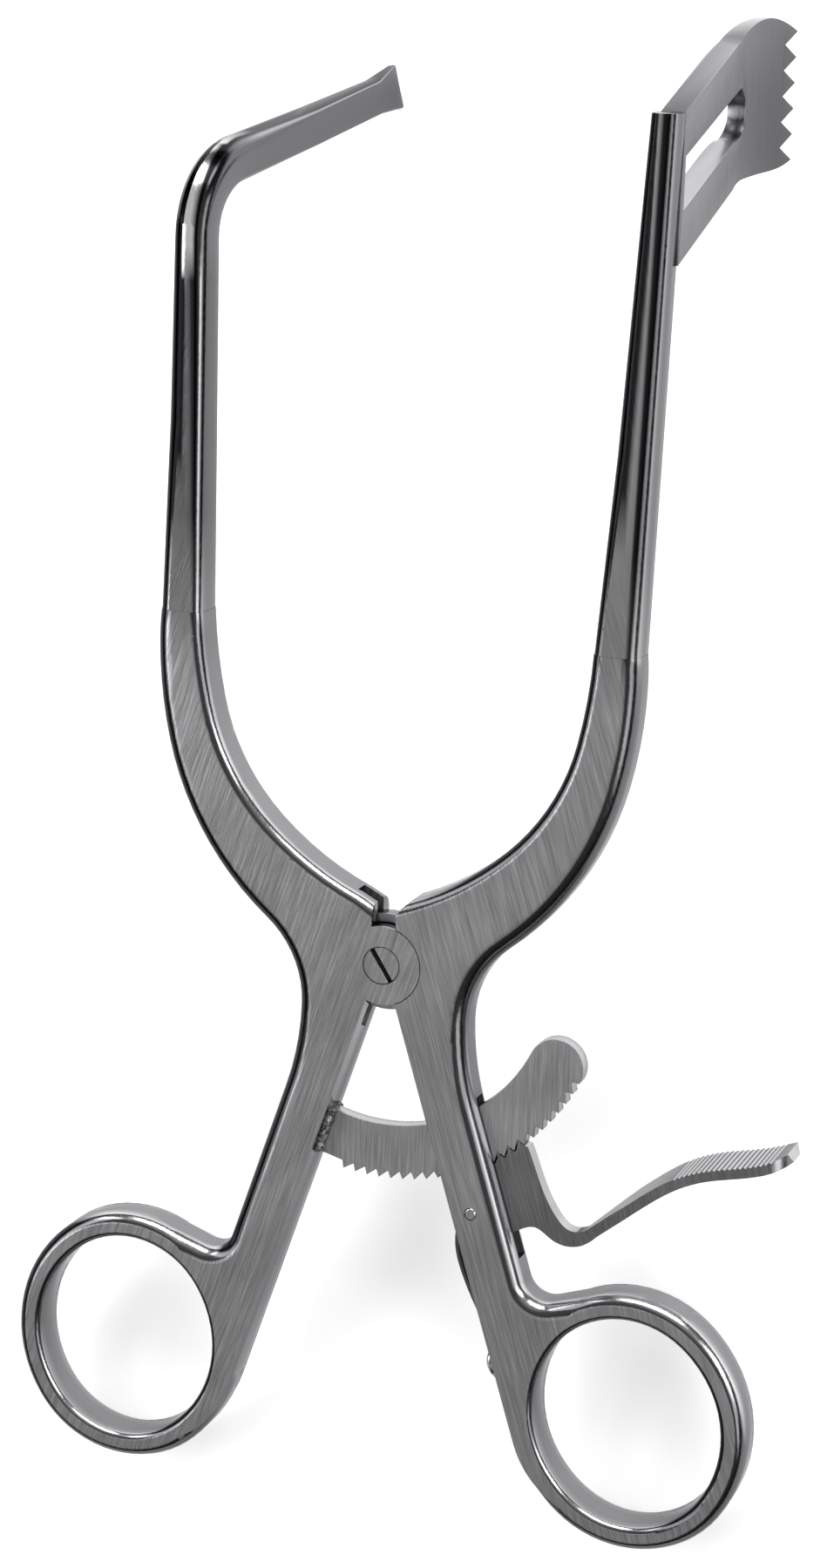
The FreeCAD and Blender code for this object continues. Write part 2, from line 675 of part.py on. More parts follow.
def toothed_blade():
    """Plate with a slanting window and a row of teeth, curved outward."""
    low, high, near, far = blade_low_y, arm_end_y, blade_near_x, blade_near_x - blade_thickness
    bend = blade_bend + 1.5
    rise = blade_slope * (bend - blade_seat)
    toe = blade_reach - 4
    top = blade_profile([(bend, high + rise), (bend + 3, high + rise + 1.3),
                         (bend + 6.5, high + rise + 2.3), (bend + 10.5, high + rise + 2.7),
                         (toe, high + rise + 2.2), (blade_reach, high + rise + 0.9)])
    tooth_step = (top[-1].y - blade_low_tip) / (blade_teeth - 1)
    teeth = []
    for i in range(blade_teeth - 1):
        y = top[-1].y - tooth_step * i
        teeth.append((blade_reach, y))
        teeth.append((blade_reach - blade_tooth_depth, y - tooth_step / 2))
    teeth = blade_profile(teeth + [(blade_reach, blade_low_tip)])
    under = blade_profile([(blade_reach, blade_low_tip), (toe, low + rise + 1.8),
                           (bend + 10, low + rise + 1.5), (bend + 5, low + rise + 1.2),
                           (bend + 1.8, low + rise + 0.8), (bend, low + rise)])
    root = blade_profile([(blade_seat, low), (blade_seat, high)])
    edges = chain([root[0], root[1], top[0]]) + [spline(top)] + chain(teeth)
    edges = edges + [spline(under), Part.makeLine(under[-1], root[0])]
    plate = Part.Face(Part.Wire(edges)).extrude(V(20, 0, 0))
    tall = blade_window_high - blade_window_low
    start = blade_seat + blade_window_start
    tip = blade_seat + blade_window_end
    spots = [(start, blade_window_low), (tip - 0.61 * tall, blade_window_low),
             (tip, blade_window_low + tall / 2 - blade_window_droop),
             (tip - 0.29 * tall, blade_window_high - blade_window_droop),
             (start, blade_window_high)]
    frame = blade_profile([(d, low + y + blade_slope * (d - start)) for d, y in spots])
    nose = Part.Arc(frame[1], frame[2], frame[3]).toShape()
    hole_edges = [Part.makeLine(frame[0], frame[1]), nose]
    hole_edges = hole_edges + chain([frame[3], frame[4], frame[0]])
    plate = plate.cut(Part.Face(Part.Wire(hole_edges)).extrude(V(20, 0, 0)))
    y = low - 10
    end = blade_reach + 1
    tip_near = near + blade_flare
    tip_far = tip_near - blade_tip_thickness
    straight_far = blade_bend - 4
    half_way = blade_bend + 10.5
    near_curve = spline([V(near, y, -blade_bend), V(near + blade_flare * 0.28, y, -half_way),
                         V(tip_near, y, -end)], V(0, 0, -1), V(0.22, 0, -1))
    far_curve = spline([V(far, y, -straight_far), V(far + 2.1, y, -half_way),
                        V(tip_far, y, -end)], V(0, 0, -1), V(0.28, 0, -1))
    outline = [Part.makeLine(V(far, y, -blade_seat), V(near, y, -blade_seat)),
               Part.makeLine(V(near, y, -blade_seat), V(near, y, -blade_bend)), near_curve,
               Part.makeLine(V(tip_near, y, -end), V(tip_far, y, -end)), far_curve,
               Part.makeLine(V(far, y, -straight_far), V(far, y, -blade_seat))]
    thickness = Part.Face(Part.Wire(Part.__sortEdges__(outline))).extrude(V(0, 60, 0))
    return plate.common(thickness)


def rest_tilt():
    """Angle at which ring rims and blade tips share one level surface."""
    rim = ring_outer_round
    rim_y = ring_y - ring_hole_h / 2 - ring_band + rim
    rim_d = body_depth - rim
    dy = blade_low_tip - rim_y
    dd = blade_reach - rim_d
    return math.degrees(math.atan2(dd, dy) - math.asin(rim / math.hypot(dd, dy)))


def build_pieces():
    left = left_branch()
    bar = ratchet_bar()
    return {
        "left_branch": left,
        "right_branch": right_branch(),
        "pivot_screw": pivot_screw(),
        "ratchet_bar": bar,
        "ratchet_weld": ratchet_weld(bar, left),
        "release_lever": release_lever(),
        "lever_pin": lever_pin(),
        "leaf_spring": leaf_spring(),
        "spring_screw": spring_screw(),
        "toothed_blade": toothed_blade(),
    }


def resting_placement(pieces):
    """Turns the instrument into its resting pose with the floor at Z = 0."""
    turn = FreeCAD.Rotation(V(1, 0, 0), rest_tilt())
    whole = Part.makeCompound(list(pieces.values()))
    whole.Placement = FreeCAD.Placement(V(0, 0, 0), turn)
    box = whole.optimalBoundingBox(False, False)
    shift = V(-box.Center.x, -box.Center.y, -box.ZMin)
    return FreeCAD.Placement(shift, turn)


def main():
    pieces = build_pieces()
    placement = resting_placement(pieces)
    for name, shape in pieces.items():
        shape.Placement = placement
        shape.exportStep("parts/" + name + ".step")


if __name__ == "__main__":
    main()
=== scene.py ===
# %% [markdown]
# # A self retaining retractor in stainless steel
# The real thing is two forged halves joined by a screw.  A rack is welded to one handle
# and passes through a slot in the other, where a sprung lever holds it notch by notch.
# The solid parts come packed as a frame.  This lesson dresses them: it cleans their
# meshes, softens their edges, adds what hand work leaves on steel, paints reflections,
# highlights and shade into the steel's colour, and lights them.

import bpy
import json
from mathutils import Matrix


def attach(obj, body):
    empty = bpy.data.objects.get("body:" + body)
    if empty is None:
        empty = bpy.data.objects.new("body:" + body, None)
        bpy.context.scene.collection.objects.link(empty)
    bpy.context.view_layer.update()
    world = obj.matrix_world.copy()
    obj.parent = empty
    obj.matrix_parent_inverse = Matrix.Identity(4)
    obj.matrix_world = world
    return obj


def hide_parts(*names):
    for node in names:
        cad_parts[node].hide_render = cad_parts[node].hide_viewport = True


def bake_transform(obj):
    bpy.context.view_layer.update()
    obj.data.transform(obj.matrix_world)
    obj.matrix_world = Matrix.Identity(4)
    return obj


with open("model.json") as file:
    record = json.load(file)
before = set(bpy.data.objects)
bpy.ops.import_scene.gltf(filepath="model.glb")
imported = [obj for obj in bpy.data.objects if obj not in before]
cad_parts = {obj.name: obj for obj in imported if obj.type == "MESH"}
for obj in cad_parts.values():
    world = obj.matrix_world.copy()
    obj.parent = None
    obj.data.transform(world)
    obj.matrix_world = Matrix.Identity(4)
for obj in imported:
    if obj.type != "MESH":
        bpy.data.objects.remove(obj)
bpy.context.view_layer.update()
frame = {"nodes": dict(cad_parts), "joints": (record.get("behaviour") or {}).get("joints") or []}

import json
import math

import bmesh
import bpy
from mathutils import Matrix, Vector

nodes = frame["nodes"]
MM = 0.001
print("frame holds", sorted(nodes))

# %% [markdown]
# ## Where things are
# The instrument lies on its finger rings and its blade tips, so the plane of its handles
# is tilted.  The hinge joint says where that plane is: its axis stands square to the
# front faces, and those lie half the depth of a handle ahead of the joint.  A small
# matrix then turns the maker's own drawing, in millimetres with the hinge centre at
# zero, into places in the frame.

# %% The drawing plane of the instrument
hinge = next(j for j in frame["joints"] if j["name"] == "arm_spread")
hinge_axis = Vector(hinge["axis"])
HALF_DEPTH = 3.1
tilt = math.atan2(-hinge_axis.y, hinge_axis.z)
front_centre = Vector(hinge["pos_m"]) + hinge_axis * (HALF_DEPTH * MM)
drawing = Matrix.Translation(front_centre) @ Matrix.Rotation(tilt, 4, "X")


def spot(x, y, z=0.0):
    """A point of the drawing, in millimetres, as a place in the frame."""
    return drawing @ Vector((x * MM, y * MM, z * MM))


print("tilt of the handles: %.2f degrees" % math.degrees(tilt))

# %% [markdown]
# ## Camera
# A product camera with a long lens stands above the right arm and looks down along the
# handles.  The long lens keeps the two rings nearly the same size.  Its place is given in
# the drawing, so it follows the instrument if that ever rests at another angle.

# %% Camera
CAMERA_SPOT = (152.15, 133.24, 413.90)
FILM_WIDTH = 36.0
FOCAL_LENGTH = 85.1
SWING, DIP, ROLL = (math.radians(a) for a in (19.76, 13.99, 1.93))
forward = Vector((-math.sin(SWING) * math.cos(DIP), -math.sin(DIP),
                  -math.cos(SWING) * math.cos(DIP)))
flat_right = Vector((math.cos(SWING), 0, -math.sin(SWING)))
flat_up = flat_right.cross(forward)
right = flat_right * math.cos(ROLL) + flat_up * math.sin(ROLL)
up = flat_up * math.cos(ROLL) - flat_right * math.sin(ROLL)
turn = Matrix((right, up, -forward)).transposed().to_4x4()
lens = bpy.data.cameras.new("product_camera")
lens.sensor_width = FILM_WIDTH
lens.lens = FOCAL_LENGTH
lens.clip_start = 0.01
camera = bpy.data.objects.new("product_camera", lens)
bpy.context.scene.collection.objects.link(camera)
camera.matrix_world = (Matrix.Translation(spot(*CAMERA_SPOT))
                       @ Matrix.Rotation(tilt, 4, "X") @ turn)
bpy.context.scene.camera = camera
print("camera at", [round(c, 3) for c in camera.matrix_world.translation])

# %% [markdown]
# ## Three small tools for materials
# A colour is written as the hex value that a paint chart would give, and one function
# turns it into the linear numbers that the renderer works with.  A second function adds
# one node, sets it up and links it, so that each material reads as a short list.  A third
# starts a material with an empty sheet.

# %% Colour and node helpers
# A Mix node has a pair of inputs for each kind of value.  These are its colour ones.
COLOUR_A, COLOUR_B, COLOUR_OUT = 6, 7, 2


def srgb(text):
    """The linear colour of a hex value such as '8C8C8E'."""
    parts = [int(text[i:i + 2], 16) / 255 for i in (0, 2, 4)]
    linear = [c / 12.92 if c <= 0.04045 else ((c + 0.055) / 1.055) ** 2.4 for c in parts]
    return (*linear, 1.0)


def fill_ramp(elements, stops):
    """Sets a colour ramp to pairs of a place and a hex colour."""
    for element, (place, hex_colour) in zip(elements, (stops[0], stops[-1])):
        element.position = place
        element.color = srgb(hex_colour)
    for place, hex_colour in stops[1:-1]:
        elements.new(place).color = srgb(hex_colour)


def add(tree, kind, feeds=(), stops=(), **settings):
    """Adds a node.  Settings name its properties or inputs, feeds give its inputs a
    socket, a number, a vector or a hex colour, and stops fill a colour ramp."""
    made = tree.nodes.new("ShaderNode" + kind)
    for key, value in settings.items():
        if hasattr(made, key):
            setattr(made, key, value)
        else:
            made.inputs[key.replace("_", " ")].default_value = value
    for name, source in dict(feeds).items():
        if isinstance(source, bpy.types.NodeSocket):
            tree.links.new(source, made.inputs[name])
        elif isinstance(source, str):
            made.inputs[name].default_value = srgb(source)
        else:
            made.inputs[name].default_value = source
    if stops:
        fill_ramp(made.color_ramp.elements, stops)
    return made


def new_material(name):
    """A material and its node tree, with no node in it yet."""
    made = bpy.data.materials.new(name)
    made.use_nodes = True
    made.node_tree.nodes.clear()
    return made, made.node_tree


print("white is", srgb("FFFFFF"))

# %% [markdown]
# ## Which way a surface faces
# Surgical steel is ground flat with a belt and then rounded and buffed at the edges.  The
# belt leaves fine straight scratches, so a flat face looks grey and soft.  A buffed
# rounding is nearly a mirror and shows dark and bright bands that run along it.  Here
# those bands, and the light and shade of the walls, are painted into the colour by the way
# the surface faces, so every steel starts from that: how far it faces the front, the
# right, the arms' end, or the painted light.  Right and up are meant as on the drawing, and
# the painted light falls from the upper right.

# %% Directions of a surface
rightward = drawing.col[0].xyz
upward = drawing.col[1].xyz
# The direction from which the painted highlights and the painted light on walls fall.
painted_light_from = (rightward * 0.5 + upward).normalized()


def facing(tree, direction):
    """How far the surface faces along a direction: 1 toward it, -1 away from it."""
    normal = add(tree, "TexCoord").outputs["Normal"]
    return add(tree, "VectorMath", {0: normal, 1: tuple(direction)},
               operation="DOT_PRODUCT").outputs["Value"]


def facing_front(tree):
    """1 where the surface faces straight to the front or back, 0 where it faces a side."""
    return add(tree, "Math", {0: facing(tree, hinge_axis)}, operation="ABSOLUTE").outputs[0]


def turned_to(tree, direction):
    """0 where the surface faces away from a direction, 0.5 square to it, 1 toward it."""
    return add(tree, "MapRange", {"Value": facing(tree, direction)}, From_Min=-1.0).outputs[0]


print("light comes from", [round(part, 2) for part in painted_light_from])

# %% [markdown]
# ## Where on the instrument a place lies
# The finish, and the reflections and shade painted into it, change on the way up.  The
# handles are flat in front and the arms are round bars.  The left arm bends at an elbow and
# goes down behind as a prong, and the blade hangs behind the right arm.  The distance from
# the hinge along one direction tells the stretches apart, and each change is spread over a
# few millimetres so that no line shows.

# %% Distances from the hinge
ARM_STARTS = 34.0 * MM
ARM_ROUND = 54.0 * MM
ELBOW_STARTS = 83.0 * MM
ELBOW_FULL = 87.0 * MM
PRONG_STARTS = -5.0 * MM
PRONG_TURNED = -13.0 * MM
BLADE_ROOT = -12.0 * MM
BLADE_TEETH = -40.0 * MM


def from_hinge(tree, place):
    """The arrow from the hinge to a place."""
    return add(tree, "VectorMath", {0: place, 1: tuple(front_centre)},
               operation="SUBTRACT").outputs[0]


def distance_along(tree, place, direction, near, far):
    """0 to 1 between two distances from the hinge along a direction."""
    along = add(tree, "VectorMath", {0: from_hinge(tree, place), 1: tuple(direction)},
                operation="DOT_PRODUCT")
    return add(tree, "MapRange", {"Value": along.outputs["Value"]}, From_Min=near,
               From_Max=far).outputs[0]


print("arms are round from %.0f mm above the hinge" % (ARM_ROUND / MM))

# %% [markdown]
# ## Scratches and clouds
# The belt's real scratches are about 0.05 mm wide, too fine for this view, so they are
# drawn 0.22 mm wide and 7 mm long.  They run along each handle, change its grey a little
# and roughen it.  Hands leave faint clouds 9 mm across on the same faces.

# %% Marks that the belt and hands leave
SCRATCH_WIDE = 0.22 * MM
SCRATCH_LONG = 7.0 * MM
GROUND_DEPTH = 0.035 * MM
BUFFED_DEPTH = 0.004 * MM
CLOUD_SIZE = 9.0 * MM
NOISE_LOW, NOISE_HIGH = 0.3, 0.7
SCRATCH_SHADES = (0.78, 1.14)
CLOUD_SHADES = (0.90, 1.06)
ROUGHNESS_STREAKS = (-0.05, 0.06)


def grain(tree, place, direction):
    """Noise drawn out along one direction of the drawing plane, as belt scratches."""
    level = add(tree, "Mapping", {"Vector": place}, vector_type="TEXTURE",
                Rotation=(tilt, 0, 0))
    scaled = add(tree, "Mapping", {"Vector": level.outputs[0]}, vector_type="TEXTURE",
                 Rotation=(0, 0, direction), Scale=(SCRATCH_WIDE, SCRATCH_LONG, SCRATCH_WIDE))
    return add(tree, "TexNoise", {"Vector": scaled.outputs[0]}, Scale=1.0, Detail=3.0,
               Roughness=0.6).outputs["Fac"]


def wear(tree, place, scratches, flat):
    """The share of light that scratches and clouds leave, on the flats alone."""
    clouds = add(tree, "TexNoise", {"Vector": place}, Scale=1 / CLOUD_SIZE, Detail=2.0)
    lines = add(tree, "MapRange", {"Value": scratches}, From_Min=NOISE_LOW,
                From_Max=NOISE_HIGH, To_Min=SCRATCH_SHADES[0], To_Max=SCRATCH_SHADES[1])
    patches = add(tree, "MapRange", {"Value": clouds.outputs["Fac"]}, From_Min=NOISE_LOW,
                  From_Max=NOISE_HIGH, To_Min=CLOUD_SHADES[0], To_Max=CLOUD_SHADES[1])
    both = add(tree, "Math", {0: lines.outputs[0], 1: patches.outputs[0]},
               operation="MULTIPLY")
    return add(tree, "MapRange", {"Value": flat, "To Max": both.outputs[0]},
               To_Min=1.0).outputs[0]


def unevenness(tree, scratches, flat, flat_rough, round_rough):
    """Roughness: satin on the flats, near a mirror on the roundings."""
    smooth = add(tree, "MapRange", {"Value": flat}, To_Min=round_rough, To_Max=flat_rough)
    streaks = add(tree, "MapRange", {"Value": scratches}, From_Min=NOISE_LOW,
                  From_Max=NOISE_HIGH, To_Min=ROUGHNESS_STREAKS[0],
                  To_Max=ROUGHNESS_STREAKS[1])
    return add(tree, "Math", {0: smooth.outputs[0], 1: streaks.outputs[0]},
               operation="ADD", use_clamp=True).outputs[0]


def scratch_relief(tree, scratches, flat):
    """The scratches as a bump, deep on the flats and almost gone on the roundings."""
    depth = add(tree, "MapRange", {"Value": flat}, To_Min=BUFFED_DEPTH, To_Max=GROUND_DEPTH)
    height = add(tree, "Math", {0: scratches, 1: depth.outputs[0]}, operation="MULTIPLY")
    return add(tree, "Bump", {"Height": height.outputs[0]}, Strength=0.9,
               Distance=1.0).outputs[0]


print("scratches are %.2f mm wide" % (SCRATCH_WIDE / MM))

# %% [markdown]
# ## Painted corner shade and seams
# What lies within half a millimetre of another surface is darkened, as painted shade for
# corners that light can't reach.  The rim of a screw head or of a hinge cheek is
# a hairline ring in the ground face, drawn as a dark line with soft sides.

# %% Marks in corners and joints
CREVICE_SIZE = 0.5 * MM
CORNER_SHUT, CORNER_OPEN = 0.45, 0.85
CORNER_SHADE = 0.35
SEAM_CORE = 0.4


def painted_corner_shade(tree):
    """The share of colour that painted corner shade leaves: little in tight corners, all in the
    open.
    """
    corners = add(tree, "AmbientOcclusion", Distance=CREVICE_SIZE).outputs["AO"]
    return add(tree, "MapRange", {"Value": corners}, From_Min=CORNER_SHUT,
               From_Max=CORNER_OPEN, To_Min=CORNER_SHADE).outputs[0]


def seam_ring(tree, place, radius, half_width):
    """1 on a thin ring around the hinge."""
    across = add(tree, "VectorMath", {0: from_hinge(tree, place), 1: tuple(hinge_axis)},
                 operation="CROSS_PRODUCT")
    reach = add(tree, "VectorMath", {0: across.outputs[0]}, operation="LENGTH")
    off = add(tree, "Math", {0: reach.outputs["Value"], 1: radius}, operation="SUBTRACT")
    gap = add(tree, "Math", {0: off.outputs[0]}, operation="ABSOLUTE")
    return add(tree, "MapRange", {"Value": gap.outputs[0]}, From_Min=half_width,
               From_Max=half_width * SEAM_CORE).outputs[0]


print("corners are darkened within %.1f mm" % (CREVICE_SIZE / MM))

# %% [markdown]
# ## Tone of a wall
# A wall is painted lighter as it turns to the painted light.  On the blade the painted tone
# follows the height alone and is darker down at the teeth, as painted shade.  The ribs of
# the thumb rest face the arms' end and get a painted highlight on one flank only, so they
# get a ramp from side to side.

# %% Tone of a wall
# Painted light: a wall is painted lighter the more it faces the painted light.
STEEL_WALLS = [(0.1, "626264"), (0.5, "6E6E70"), (0.76, "7C7C7E"), (0.97, "949496")]
RIBS_FROM, RIBS_FULL = 0.80, 0.86


def wall_tone(tree, place, walls, deep_walls, ribs):
    """The painted light and shade of a wall by the way it faces, and on the blade by its depth
    as well.
    """
    height = turned_to(tree, upward)
    if deep_walls:
        deep = distance_along(tree, place, hinge_axis, BLADE_ROOT, BLADE_TEETH)
        plate = add(tree, "ValToRGB", {"Fac": height}, walls)
        teeth = add(tree, "ValToRGB", {"Fac": height}, deep_walls)
        return add(tree, "Mix", {"Factor": deep, COLOUR_A: plate.outputs[0],
                                 COLOUR_B: teeth.outputs[0]},
                   data_type="RGBA").outputs[COLOUR_OUT]
    wall = add(tree, "ValToRGB", {"Fac": turned_to(tree, painted_light_from)}, walls).outputs[0]
    if ribs:
        on_top = add(tree, "MapRange", {"Value": height}, From_Min=RIBS_FROM,
                     From_Max=RIBS_FULL)
        flanks = add(tree, "ValToRGB", {"Fac": turned_to(tree, rightward)}, ribs)
        wall = add(tree, "Mix", {"Factor": on_top.outputs[0], COLOUR_A: wall,
                                 COLOUR_B: flanks.outputs[0]},
                   data_type="RGBA").outputs[COLOUR_OUT]
    return wall


print("wall tones:", len(STEEL_WALLS))

# %% [markdown]
# ## Tone of a rounding
# A rounding's painted tone changes from side to side, with a painted highlight where it
# faces the painted light.  Beside the ground face a thin dark line is painted for the dark
# of the room that it would mirror, and where it has turned steep it passes into the wall.

# %% Tone of a rounding and of its two edges
PAINTED_HIGHLIGHT_HEX = "D8D8DA"
LIT_FROM, LIT_FULL = 0.42, 0.72
EDGE_LINE = [(0.93, "000000"), (0.972, "FFFFFF"), (1.0, "000000")]
WALL_FROM, WALL_FULL = 0.45, 0.10


def rounding_tone(tree, roundings):
    """Painted reflection tones across a rounding, with a painted highlight where it faces the
    painted light.
    """
    bright = add(tree, "MapRange", {"Value": facing(tree, painted_light_from)}, From_Min=LIT_FROM,
                 From_Max=LIT_FULL)
    across = add(tree, "ValToRGB", {"Fac": turned_to(tree, rightward)}, roundings)
    return add(tree, "Mix", {"Factor": bright.outputs[0], COLOUR_A: across.outputs[0],
                             COLOUR_B: PAINTED_HIGHLIGHT_HEX}, data_type="RGBA").outputs[COLOUR_OUT]


def edge_tone(tree, front, rounding, line_hex, wall):
    """A painted dark reflection line beside the ground face, then the rounding, then the steep
    wall.
    """
    at_line = add(tree, "ValToRGB", {"Fac": front}, EDGE_LINE)
    lined = add(tree, "Mix", {"Factor": at_line.outputs[0], COLOUR_A: rounding,
                              COLOUR_B: line_hex}, data_type="RGBA")
    steep = add(tree, "MapRange", {"Value": front}, From_Min=WALL_FROM, From_Max=WALL_FULL)
    return add(tree, "Mix", {"Factor": steep.outputs[0], COLOUR_B: wall,
                             COLOUR_A: lined.outputs[COLOUR_OUT]},
               data_type="RGBA").outputs[COLOUR_OUT]


print("the dark line peaks at %.3f of facing the front" % EDGE_LINE[1][0])

# %% [markdown]
# ## Tone of a round arm
# An arm is round all over, so its painted reflection bands are one ramp from flank to flank.
# Where it bends, it would mirror another part of the room, and other painted bands are laid
# over that stretch.

# %% Tone of a round arm


def arm_tone(tree, place, bands, stretches):
    """Painted reflection bands along a round arm, and other ones on stretches that turn another
    way.
    """
    across = turned_to(tree, rightward)
    tone = add(tree, "ValToRGB", {"Fac": across}, bands).outputs[0]
    for direction, starts, full, own_bands in stretches:
        there = distance_along(tree, place, direction, starts, full)
        banded = add(tree, "ValToRGB", {"Fac": across}, own_bands)
        tone = add(tree, "Mix", {"Factor": there, COLOUR_A: tone,
                                 COLOUR_B: banded.outputs[0]},
                   data_type="RGBA").outputs[COLOUR_OUT]
    return tone


print("round from %.0f mm, elbow from %.0f mm" % (ARM_ROUND / MM, ELBOW_FULL / MM))

# %% [markdown]
# ## One recipe for all the steel
# Every steel piece comes from stainless bar, so one recipe serves all of them.  What
# differs is the grey of each face, how far the grinding went and where the painted
# reflection bands and highlights lie.
# Stainless steel is darker at a glancing angle than a perfect mirror, which the tint says.

# %% The forged steel material
FLAT_FULL = 0.992
SEAM_HEX = "1C1C1D"
GLANCING_HEX = "D8D8DA"


def forged_steel(name, direction, flat_hex="B8B8BA", round_hex="707072", line_hex="2A2A2C",
                 flat_rough=0.36, round_rough=0.18, flat_from=0.955, walls=STEEL_WALLS,
                 deep_walls=None, ribs=None, roundings=None, bands=None, stretches=(),
                 seam=None):
    """Ground on its flats, buffed on its roundings, scratched along a direction."""
    made, tree = new_material(name)
    place = add(tree, "TexCoord").outputs["Object"]
    scratches = grain(tree, place, direction)
    front = facing_front(tree)
    flat = add(tree, "MapRange", {"Value": front}, From_Min=flat_from,
               From_Max=FLAT_FULL).outputs[0]
    # The tones of the roundings, the edge line, the walls and the arm bands are painted
    # reflections, highlights and shade.
    rounding = rounding_tone(tree, roundings) if roundings else round_hex
    turned = edge_tone(tree, front, rounding, line_hex,
                       wall_tone(tree, place, walls, deep_walls, ribs))
    tone = add(tree, "Mix", {"Factor": flat, COLOUR_A: turned, COLOUR_B: flat_hex},
               data_type="RGBA").outputs[COLOUR_OUT]
    if bands:
        arm = distance_along(tree, place, upward, ARM_STARTS, ARM_ROUND)
        tone = add(tree, "Mix", {"Factor": arm, COLOUR_A: tone,
                                 COLOUR_B: arm_tone(tree, place, bands, stretches)},
                   data_type="RGBA").outputs[COLOUR_OUT]
        handle = add(tree, "Math", {0: 1.0, 1: arm}, operation="SUBTRACT")
        flat = add(tree, "Math", {0: flat, 1: handle.outputs[0]},
                   operation="MULTIPLY").outputs[0]
    worn = add(tree, "VectorMath", {0: tone, "Scale": wear(tree, place, scratches, flat)},
               operation="SCALE")
    # Painted shade: the colour is darkened in tight corners and crevices.
    colour = add(tree, "VectorMath", {0: worn.outputs[0], "Scale": painted_corner_shade(tree)},
                 operation="SCALE").outputs[0]
    if seam:
        colour = add(tree, "Mix", {"Factor": seam_ring(tree, place, *seam), COLOUR_A: colour,
                                   COLOUR_B: SEAM_HEX},
                     data_type="RGBA").outputs[COLOUR_OUT]
    metal = add(tree, "BsdfPrincipled",
                {"Base Color": colour,
                 "Roughness": unevenness(tree, scratches, flat, flat_rough, round_rough),
                 "Normal": scratch_relief(tree, scratches, flat),
                 "Specular Tint": GLANCING_HEX}, Metallic=1.0)
    add(tree, "OutputMaterial", {"Surface": metal.outputs[0]})
    return made


print("the recipe for steel is ready")

# %% [markdown]
# ## Steel of the two halves
# The painted reflection bands below run from the left flank of a bar, at 0, to its right
# flank, at 1.  Both arms are painted black on the left and carry a thin painted highlight
# near the middle, and the left one has a second, softer one.  The elbow gets a wide, white
# painted highlight for a lamp it would mirror.  The prong is grey with a painted highlight
# along each edge.

# %% Materials of the halves and their screws
HANDLE_SLOPE = 0.322
HANDLE_LEAN = math.atan(HANDLE_SLOPE)
CHEEK_SEAM = (5.10 * MM, 0.10 * MM)
SCREW_SEAM = (2.38 * MM, 0.09 * MM)
LEFT_BANDS = [(0.05, "0A0A0C"), (0.42, "0C0C0E"), (0.455, "8C8C8E"), (0.50, "7C7C7E"),
              (0.53, "444446"), (0.57, "303032"), (0.60, "0A0A0C"), (0.63, "0A0A0C"),
              (0.69, "2E2E30"), (0.77, "868688"), (0.85, "363638"), (0.93, "565658"),
              (0.99, "646466")]
ELBOW_BANDS = [(0.05, "0A0A0C"), (0.38, "0C0C0E"), (0.42, "FAFAFC"), (0.55, "FAFAFC"),
               (0.60, "1A1A1C"), (0.66, "0C0C0E"), (0.72, "4E4E50"), (0.80, "2A2A2C"),
               (0.88, "5F5F61"), (0.99, "6E6E70")]
PRONG_BANDS = [(0.10, "909092"), (0.28, "C4C4C6"), (0.38, "505052"), (0.62, "4A4A4C"),
               (0.78, "AAAAAC"), (0.92, "606062"), (0.99, "6A6A6C")]
RIGHT_BANDS = [(0.05, "101012"), (0.39, "101012"), (0.42, "343436"), (0.45, "BCBCBE"),
               (0.50, "A0A0A2"), (0.53, "5A5A5C"), (0.56, "2C2C2E"), (0.64, "222224"),
               (0.70, "101012"), (0.77, "303032"), (0.85, "4A4A4C"), (0.93, "949496"),
               (0.99, "727274")]
ROUND_BANDS = [(0.05, "242426"), (0.30, "303032"), (0.45, "58585A"), (0.62, "5E5E60"),
               (0.80, "4C4C4E"), (0.97, "6A6A6C")]
left_stretches = [(upward, ELBOW_STARTS, ELBOW_FULL, ELBOW_BANDS),
                  (hinge_axis, PRONG_STARTS, PRONG_TURNED, PRONG_BANDS)]
left_steel = forged_steel("ground_forged_steel_left", -HANDLE_LEAN,
                          roundings=ROUND_BANDS, bands=LEFT_BANDS,
                          stretches=left_stretches, seam=SCREW_SEAM)
right_steel = forged_steel("ground_forged_steel_right", HANDLE_LEAN,
                           roundings=ROUND_BANDS, bands=RIGHT_BANDS, seam=CHEEK_SEAM)
screw_steel = forged_steel("turned_steel", -HANDLE_LEAN, round_hex="8E8E90",
                           line_hex="707072", seam=SCREW_SEAM)
print("steels:", left_steel.name, right_steel.name, screw_steel.name)

# %% [markdown]
# ## Steel of rack, lever, spring and blade
# These are cut from plate or strip and only lightly polished, so their roundings are
# rougher.  The cut walls of rack, lever and blade are paler than the buffed walls of the
# halves and are painted lighter still where they face the painted light; the blade's walls
# are painted darker down at the teeth as shade, and the lever's ribs get a painted highlight
# on one flank.  The lever was milled last, so its ground grey reaches further round its edges.

